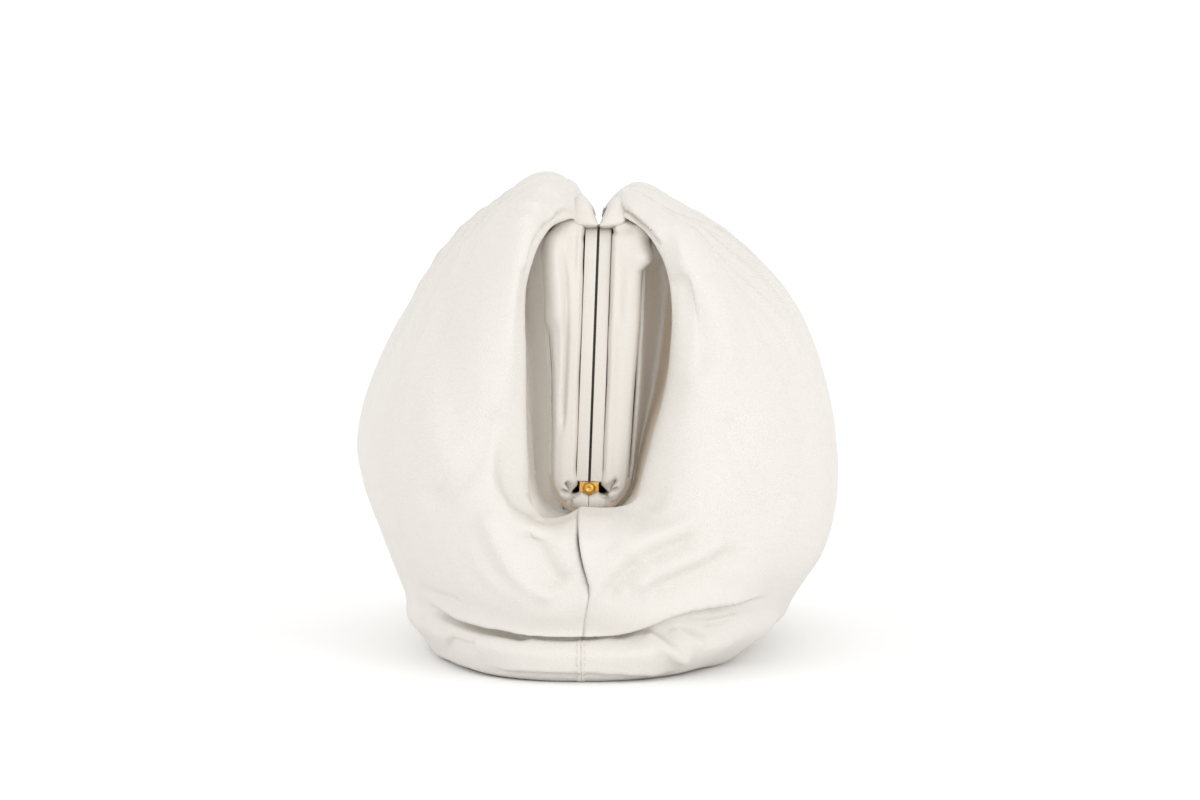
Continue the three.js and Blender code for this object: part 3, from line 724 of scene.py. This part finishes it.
# Creases and pinches of the rolls at the near end, laid out as the panels' folds are
ROLL_FOLDS = [
    Fold("left pinch", "valley", 3.4, 1.7, [(-4.6, 80.4), (-6.8, 79.4), (-8.2, 79)]),
    Fold("left pinch, up", "valley", 4.4, 0.9, [(-5.4, 79.4), (-8.2, 82), (-10.6, 84.6)]),
    Fold("left pinch, down", "valley", 4.2, 0.9, [(-5.6, 79.6), (-7.8, 77.2), (-9, 74.2)]),
    Fold("left pinch, across", "valley", 3.4, 0.8, [(-5.6, 79.6), (-10.4, 79.8), (-12.6, 81)]),
    Fold("right pinch", "valley", 3.4, 1.7, [(4.6, 80.4), (7, 79.8), (8.6, 80)]),
    Fold("right pinch, up", "valley", 4.4, 0.9, [(5.4, 79.4), (9, 82.6), (12.6, 85.6)]),
    Fold("right pinch, down", "valley", 4.2, 0.9, [(5.6, 79.6), (8, 77), (9.8, 74.4)]),
    Fold("right pinch, across", "valley", 3.4, 0.8, [(5.6, 80), (10, 80.8), (13.2, 81.4)]),
    Fold("edge under the hinge", "ridge", 1.2, 2.2, [
        (-6.6, 90), (-6.6, 84.6), (-4.6, 80), (0, 78), (4.6, 80), (6.6, 84.6), (6.6, 90)]),
    Fold("left roll's outer crease", "valley", 2.4, 1.2, [
        (-15.6, 192), (-15.2, 183), (-13.6, 172), (-12.6, 158), (-12.4, 140), (-12.6, 120),
        (-12.8, 104)]),
    Fold("left roll's hollow", "valley", 1.6, 3.2, [(-9.4, 197), (-10, 188), (-10.2, 176)]),
    Fold("left top crease", "valley", 0.8, 0.8, [(-16, 193.4), (-11, 191.6), (-5, 191.4)]),
    Fold("right top crease", "valley", 1.8, 0.9, [(5, 193.6), (10, 195), (16, 194.6), (19, 193)]),
    Fold("right pleat", "ridge", 4.6, 3.4, [
        (16, 198), (20, 193), (21, 188), (18.5, 182), (17, 178)]),
    Fold("left bulge", "ridge", 3.4, 4.4, [
        (-16, 196), (-18.6, 188), (-18.4, 178), (-17, 166), (-16, 150)]),
    Fold("right roll's hollow", "valley", 1.0, 2.6, [(11, 184), (10.4, 170), (10.6, 152)]),
]

# Where the rolls' reliefs set in, in millimetres above the floor, and along the bag in metres
ROLL_END_REACH = (0.128, 0.136)
ROLL_TOP = (150, 176)
BAR_FOOT = (86, 90)
# How squarely a roll's skin has to face away from the frame
ROLL_FACING = (0.4, 0.9)
# How far the rolls' skin stands off the solids all round, and more where it faces outward
ROLL_SWELL = 0.24 * MM
ROLL_OUTWARD = 0.5 * MM
# The rolls bulge forward beside the bars, about this far from the seam, in millimetres
BESIDE_BAR, BESIDE_BAR_SPREAD = 7.4, 1.4
BULGE_FORWARD = 0.9 * MM
# How far each roll keeps from the middle of the seam under the hinge
ROLL_SEAM = 0.08 * MM

# How far the bars' leather stands off the solids
BAR_SWELL = 0.1 * MM


def padded_roll(node, own):
    bm = merged_copy(node)
    bmesh.ops.join_triangles(
        bm, faces=bm.faces, angle_face_threshold=0.5, angle_shape_threshold=1.2)
    roll = through_points(to_object(bm, node.replace("_rim_roll", "_padded_rim")), 3)
    co = coordinates(roll.data)
    normals = vertex_normals(roll.data)
    places = end_view(co)
    beside, height = np.abs(places[:, 0]), places[:, 1]
    at_end = smooth_step(np.abs(co[:, 1]), *ROLL_END_REACH)
    lift = np.full(len(co), ROLL_SWELL)
    for fold in ROLL_FOLDS:
        lift += fold_relief(places, fold)[0] * at_end
    for waves in (ROLL_WAVES, ROLL_WRINKLES):
        lift += waves.height * MM * uneven(co, waves)
    outward = smooth_step(own * normals[:, 0], *ROLL_FACING)
    lift += ROLL_OUTWARD * outward * fade(height, *ROLL_TOP)
    co += normals * lift[:, None]
    bulge = np.exp(-((beside - BESIDE_BAR) / BESIDE_BAR_SPREAD) ** 2)
    bulge *= smooth_step(height, *BAR_FOOT)
    co[:, 1] += np.sign(co[:, 1]) * BULGE_FORWARD * bulge * at_end
    # the seam under the hinge stays shut, with its edges rolled in
    apart = own * (co[:, 0] - seam_x(co[:, 2]))
    co[:, 0] += own * (np.maximum(apart, ROLL_SEAM) - apart)
    move_vertices(roll.data, co)
    belongs(roll, RIM_LEATHER, "rim_leather", node)
    return roll


def covered_bar(node):
    bar = to_object(merged_copy(node), node.replace("_bar_cover", "_bar_leather"))
    soften_edges(bar, width=0.3 * MM, segments=3, angle=40)
    move_vertices(bar.data, coordinates(bar.data) + BAR_SWELL * vertex_normals(bar.data))
    return belongs(bar, RIM_LEATHER, "rim_leather", node)


# Pieces built up from rings of points, and plates cut from flat outlines

def closed_ring(bm, points):
    """The edges of a ring through points."""
    verts = [bm.verts.new(point) for point in points]
    return [bm.edges.new(pair) for pair in zip(verts, [*verts[1:], verts[0]])]


def skin_over(bm, rings):
    """Joins rings of edges, each to the next, and closes both ends of the skin."""
    for ring, after in zip(rings, rings[1:]):
        bmesh.ops.bridge_loops(bm, edges=ring + after)
    for ring in (rings[0], rings[-1]):
        bmesh.ops.edgeloop_fill(bm, edges=ring)


def thicken(bm, wall):
    """Gives a flat plate that faces an end of the bag its thickness."""
    made = bmesh.ops.extrude_face_region(bm, geom=bm.faces[:])
    moved = [part for part in made["geom"] if isinstance(part, bmesh.types.BMVert)]
    bmesh.ops.translate(bm, verts=moved, vec=(0, wall, 0))
    bmesh.ops.recalc_face_normals(bm, faces=bm.faces)


def placed_on_frame(bm, place, turn):
    """Moves a piece to its place on the leaning frame's near end, or turned to the far end."""
    bmesh.ops.transform(bm, matrix=Matrix.Translation(place), verts=bm.verts)
    bmesh.ops.transform(bm, matrix=Matrix.Rotation(LEAN, 4, "Y"), verts=bm.verts)
    bmesh.ops.translate(bm, verts=bm.verts, vec=(LEAN_FOOT, 0, 0))
    if turn:
        bmesh.ops.transform(bm, matrix=Matrix.Scale(-1, 4, (0, 1, 0)), verts=bm.verts)
        bmesh.ops.reverse_faces(bm, faces=bm.faces)


# The tuck's profile over a bar's top corner: (beside the seam, above the bar), in millimetres
TUCK_PROFILE = [
    (0.5, -2), (6.5, -2), (12, 0), (14, 7), (12, 13), (7, 14), (4.4, 11), (2.6, 6.6), (1.2, 2.4),
    (0.5, 0.4)]
# How far the tuck sits below the bar's top and keeps from the seam, in millimetres
TUCK_FALL = 0.6
TUCK_SEAM = 0.5
# How far its sections lie behind the bar's end, and their shares of the profile's width and height
TUCK_SECTIONS = [
    (1.9, 0.8, 0.14), (3.9, 0.9, 0.42), (9, 1, 0.8), (18, 1, 1), (31, 1, 1), (39, 1, 0.8)]


def end_tuck(side, own, end):
    """The gathered leather that closes the mouth between a bar's top corner and the panel."""
    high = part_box(f"{side}_bar_cover")[1]
    bm = bmesh.new()
    rings = []
    for behind, width, share in TUCK_SECTIONS:
        points = []
        for beside, above in TUCK_PROFILE:
            z = high[2] + (above * share - TUCK_FALL) * MM
            x = seam_x(z) + own * max(beside * width, TUCK_SEAM) * MM
            points.append((x, end * (high[1] - behind * MM), z))
        rings.append(closed_ring(bm, points))
    skin_over(bm, rings)
    bmesh.ops.recalc_face_normals(bm, faces=bm.faces)
    name = "near" if end < 0 else "far"
    tuck = to_object(bm, f"{side}_{name}_tuck")
    rounds = tuck.modifiers.new("rounded", "SUBSURF")
    rounds.levels = rounds.render_levels = 3
    with_modifiers_applied(tuck)
    co = coordinates(tuck.data)
    waves = TUCK_WAVES.height * MM * uneven(co, TUCK_WAVES)
    move_vertices(tuck.data, co + vertex_normals(tuck.data) * waves[:, None])
    return belongs(tuck, RIM_LEATHER, "rim_leather")


# How far the lining keeps inside the bar's outline and from the seam
LINING_INSET = 3.4 * MM
LINING_SEAM = 0.06 * MM
# The cover's faces that it starts from: how squarely they face the seam, and how near it they lie
LINING_FACING = 0.95
LINING_REACH = 1 * MM


def mouth_lining(side, own):
    """A strip of the bag's cloth lining that shuts the mouth behind one bar's outer edge."""
    bm = merged_copy(f"{side}_bar_cover")
    toward = Vector((-own * math.cos(LEAN), 0, own * math.sin(LEAN)))
    bm.normal_update()
    rest = []
    for face in bm.faces:
        middle = face.calc_center_median()
        beside = own * (middle.x - seam_x(middle.z))
        if face.normal.dot(toward) < LINING_FACING or beside > LINING_REACH:
            rest.append(face)
    bmesh.ops.delete(bm, geom=rest, context="FACES")
    bmesh.ops.dissolve_limit(bm, angle_limit=0.02, verts=bm.verts, edges=bm.edges)
    rim = bmesh.ops.inset_region(
        bm, faces=bm.faces, thickness=LINING_INSET, use_even_offset=True)
    bmesh.ops.delete(bm, geom=rim["faces"], context="FACES")
    gap = [own * (vert.co.x - seam_x(vert.co.z)) for vert in bm.verts]
    bmesh.ops.solidify(bm, geom=bm.faces, thickness=LINING_SEAM - min(gap))
    bmesh.ops.recalc_face_normals(bm, faces=bm.faces)
    lining = to_object(bm, f"{side}_mouth_lining")
    return belongs(lining, LINING_CLOTH, "panel_leather")


# The hinge's leaves, in the leaning frame's own upright coordinates
LEAF_HALF_TOP = 4.7 * MM
LEAF_HALF_FOOT = 1.4 * MM
LEAF_HEIGHT = 4.4 * MM
LEAF_ROUNDING = 1.4 * MM
LEAF_WALL = 0.4 * MM
LEAF_PLACE = Vector((0, -139.1 * MM, 84.5 * MM))


def hinge_leaf(name, turn):
    """The flared brass leaves that close the feet of both bars behind the rivet's head."""
    bm = bmesh.new()
    outline = [
        (-LEAF_HALF_TOP, 0), (LEAF_HALF_TOP, 0), (LEAF_HALF_FOOT, -LEAF_HEIGHT),
        (-LEAF_HALF_FOOT, -LEAF_HEIGHT)]
    corners = [bm.verts.new((x, 0, z)) for x, z in outline]
    bm.faces.new(corners)
    bmesh.ops.bevel(
        bm, geom=corners[2:], offset=LEAF_ROUNDING, offset_type="OFFSET", segments=4,
        profile=0.5, affect="VERTICES", material=-1)
    thicken(bm, LEAF_WALL)
    placed_on_frame(bm, LEAF_PLACE, turn)
    leaf = to_object(bm, name)
    soften_edges(leaf, width=0.12 * MM, segments=2, angle=30)
    return belongs(leaf, BRASS, "hinge_brass")


# The gusset behind the rolls' bend: its place, its radii about the bend's centre and its wall
GUSSET_PLACE = Vector((0, -138.6 * MM, 87 * MM))
GUSSET_RADII = (12 * MM, 17.6 * MM)
GUSSET_WALL = LEATHER_WALL / 2


def groove_gusset(name, turn):
    """The leather at the bottom of the groove between the rolls' bend and the panels' lip."""
    bm = bmesh.new()
    ends = [bm.verts.new((-radius, 0, 0)) for radius in GUSSET_RADII]
    bmesh.ops.spin(
        bm, geom=[*ends, bm.edges.new(ends)], cent=(0, 0, 0), axis=(0, -1, 0), dvec=(0, 0, 0),
        angle=math.pi, steps=24, use_merge=False, use_duplicate=False)
    thicken(bm, GUSSET_WALL)
    placed_on_frame(bm, GUSSET_PLACE, turn)
    gusset = to_object(bm, name)
    # the whole gusset is painted with the shade tone: painted shade at the bottom of the groove
    mask = gusset.data.attributes.new("painted_shade_share", "FLOAT", "POINT")
    mask.data.foreach_set("value", np.ones(len(gusset.data.vertices)))
    return belongs(gusset, RIM_LEATHER, "rim_leather")


# Half of the rivet's section: (out from its axis, outward from its head's face), in millimetres
RIVET_PROFILE = [
    (0, -0.15), (0.7, -0.1), (1.1, 0.12), (1.5, 0.14), (2.1, -0.25), (2.6, -0.9), (2.75, -1.6),
    (2.6, -2.3), (2.2, -2.8), (1.1, -2.9), (1.1, -6.6), (0, -6.6)]


def rivet_head(node):
    """The rivet with its rounded head turned true, a shallow dimple in the middle."""
    low, high = (np.array(corner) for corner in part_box(node))
    centre = (low + high) / 2
    out = -1.0 if centre[1] < 0 else 1.0
    face = low[1] if out < 0 else high[1]
    bm = bmesh.new()
    verts = [bm.verts.new((radius * MM, 0, along * MM)) for radius, along in RIVET_PROFILE]
    edges = [bm.edges.new(pair) for pair in zip(verts, verts[1:])]
    bmesh.ops.spin(
        bm, geom=verts + edges, cent=(0, 0, 0), axis=(0, 0, 1), dvec=(0, 0, 0),
        angle=2 * math.pi, steps=28, use_merge=True, use_duplicate=False)
    bmesh.ops.remove_doubles(bm, verts=bm.verts, dist=MERGE)
    upright = Matrix.Rotation(math.pi / 2 * -out, 4, "X")
    bmesh.ops.transform(bm, matrix=upright, verts=bm.verts)
    bmesh.ops.translate(bm, verts=bm.verts, vec=(centre[0], face, centre[2]))
    bmesh.ops.recalc_face_normals(bm, faces=bm.faces)
    rivet = to_object(bm, node.replace("_hinge_rivet", "_rivet_head"))
    return belongs(rivet, BRASS, "hinge_brass", node)


for side, own in (("front", -1), ("back", 1)):
    leather_panel(f"{side}_panel")
    padded_roll(f"{side}_rim_roll", own)
    covered_bar(f"{side}_bar_cover")
    mouth_lining(side, own)
    for end in (-1, 1):
        end_tuck(side, own, end)
    rail = frame["nodes"][f"{side}_frame_rail"].data
    rail.materials.clear()
    rail.materials.append(BRASS)
for end, turn in (("near", False), ("far", True)):
    hinge_leaf(f"{end}_hinge_leaf", turn)
    groove_gusset(f"{end}_groove_gusset", turn)
    rivet_head(f"{end}_hinge_rivet")


# The stitches that hold the welt over the end seams, from the base crease to the floor

STITCH_BESIDE = 1.5 * MM
STITCH_LENGTH = 1.9 * MM
STITCH_RADIUS = 0.2 * MM
STITCH_PITCH = 2.8 * MM
STITCH_HEIGHTS = (3 * MM, 19 * MM)
STITCH_SIDES = 8
# How far from the bag's middle the leather is felt for, toward the end seam, in metres
STITCH_FEELER = 0.3
# A thread's line: its points' shares of the stitch's length, and how deep they lie in the
# leather, in millimetres
STITCH_LINE = [(-0.5, 0.25), (-0.3, -0.1), (0, -0.16), (0.3, -0.1), (0.5, 0.25)]


def thread_points(skin, end, own, row):
    """One stitch's points on the leather beside the seam, those that find leather."""
    points = []
    for share, bedded in STITCH_LINE:
        z = STITCH_HEIGHTS[0] + row * STITCH_PITCH + share * STITCH_LENGTH
        x = seam_x(z) - from_table(z / MM, SEAM_WANDER) * MM * end + own * STITCH_BESIDE
        feeler = Vector((x, end * STITCH_FEELER, z))
        hit, place, _, _ = skin.ray_cast(feeler, Vector((0, -end, 0)))
        if hit:
            points.append(place - Vector((0, end * bedded * MM, 0)))
    return points


def seam_stitches(end, name):
    """Two rows of short threads laid on the leather, each bedded at both its ends."""
    bm = bmesh.new()
    rows = round((STITCH_HEIGHTS[1] - STITCH_HEIGHTS[0]) / STITCH_PITCH) + 1
    spokes = [STITCH_RADIUS * Vector((math.cos(angle), math.sin(angle), 0))
              for angle in np.arange(STITCH_SIDES) * math.tau / STITCH_SIDES]
    for own in (-1, 1):
        skin = bpy.data.objects["front_leather" if own < 0 else "back_leather"]
        for row in range(rows):
            points = thread_points(skin, end, own, row)
            if len(points) < len(STITCH_LINE):
                continue
            rings = [closed_ring(bm, [place + spoke for spoke in spokes]) for place in points]
            skin_over(bm, rings)
    bmesh.ops.recalc_face_normals(bm, faces=bm.faces)
    return belongs(to_object(bm, name), THREAD, "panel_leather")


seam_stitches(-1, "near_seam_stitches")
seam_stitches(1, "far_seam_stitches")


# The floor, the light and the camera

FLOOR_TONE = (0.985, 0.985, 0.985, 1)
SKY_STRENGTH = 1.05
SOFT_BOX_SIDE = 1.2
# Each soft box: its name, its place, what it is aimed at and its power in watts
SOFT_BOXES = [
    ("key_soft_box", (1.5, -2.1, 0.95), (0, -0.1, 0.1), 16),
    ("fill_soft_box", (-1.8, -0.9, 1.1), (0, 0, 0.1), 5)]


def aim(piece, place, target):
    """Links a lamp or a camera at its place and turns it to its target."""
    bpy.context.scene.collection.objects.link(piece)
    piece.location = place
    piece.rotation_euler = (Vector(target) - Vector(place)).to_track_quat("-Z", "Y").to_euler()


def studio_floor():
    bm = bmesh.new()
    bmesh.ops.create_grid(bm, x_segments=1, y_segments=1, size=FLOOR_SIDE / 2)
    floor = to_object(bm, "studio_floor")
    material = bpy.data.materials.new("pale_floor")
    material.use_nodes = True
    tree = material.node_tree
    feed(tree, tree.nodes["Principled BSDF"], {"Base Color": FLOOR_TONE, "Roughness": 0.7})
    floor.data.materials.append(material)


def soft_box(name, place, target, power):
    light = bpy.data.lights.new(name, "AREA")
    light.shape = "SQUARE"
    light.size = SOFT_BOX_SIDE
    light.energy = power
    aim(bpy.data.objects.new(name, light), place, target)


def pale_surroundings():
    world = bpy.data.worlds.new("pale_surroundings")
    bpy.context.scene.world = world
    world.use_nodes = True
    tree = world.node_tree
    feed(tree, tree.nodes["Background"], {"Color": (1, 1, 1, 1), "Strength": SKY_STRENGTH})


def photo_camera():
    data = bpy.data.cameras.new("photo_camera")
    data.lens = CAMERA_LENS
    data.clip_end = 60
    camera = bpy.data.objects.new("photo_camera", data)
    aim(camera, CAMERA_PLACE, CAMERA_TARGET)
    bpy.context.scene.camera = camera


studio_floor()
pale_surroundings()
for box in SOFT_BOXES:
    soft_box(*box)
bpy.context.scene.view_settings.view_transform = "Standard"
photo_camera()
